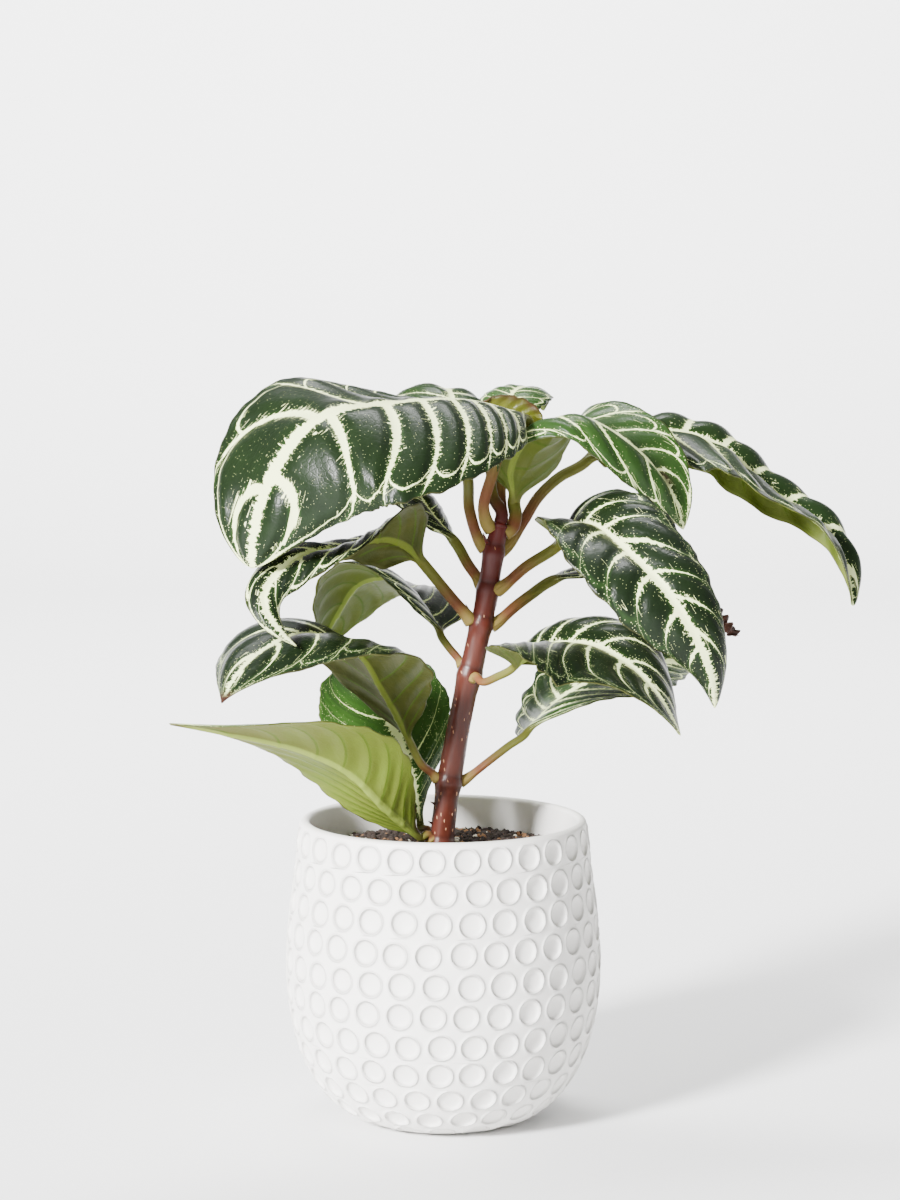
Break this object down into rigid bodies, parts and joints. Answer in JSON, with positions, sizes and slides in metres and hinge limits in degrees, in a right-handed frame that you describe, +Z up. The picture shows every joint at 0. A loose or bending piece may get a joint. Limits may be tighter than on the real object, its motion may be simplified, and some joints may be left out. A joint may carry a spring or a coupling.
{
  "type": "potted zebra plant",
  "caption": "Leaning leafy houseplant with large cream-veined dark leaves, in a round bowl pot whose outside is covered in dished circles.",
  "frame": {"origin": "centre of the pot's foot, on the surface it stands on", "axes": "+Z up, -Y the front seen in the picture, +X to its right, the side the stem leans to"},
  "size_m": [0.282, 0.1964, 0.3058],
  "materials": {
    "pot": "matt white",
    "soil": "dark crumbly potting soil",
    "stem": "reddish-brown bark, half gloss",
    "leaf": "dark green with cream veins, half gloss",
    "bud": "yellow-green"
  },
  "bodies": {
    "root": {"pot": "pot", "soil": "soil", "stem": "stem", "leaf_upper_left": "leaf", "leaf_upper_right": "leaf", "leaf_far_right": "leaf", "leaf_back_left": "leaf", "leaf_back_top": "leaf", "leaf_side_left": "leaf", "leaf_front_right": "leaf", "leaf_folded_left": "leaf", "leaf_shrivelled_right": "leaf", "leaf_twisted_left": "leaf", "leaf_lower_right": "leaf", "leaf_brown_tip_left": "leaf", "leaf_low_right": "leaf", "leaf_low_back": "leaf", "leaf_lowest_left": "leaf", "bud_leaf": "bud"}
  },
  "joints": []
}
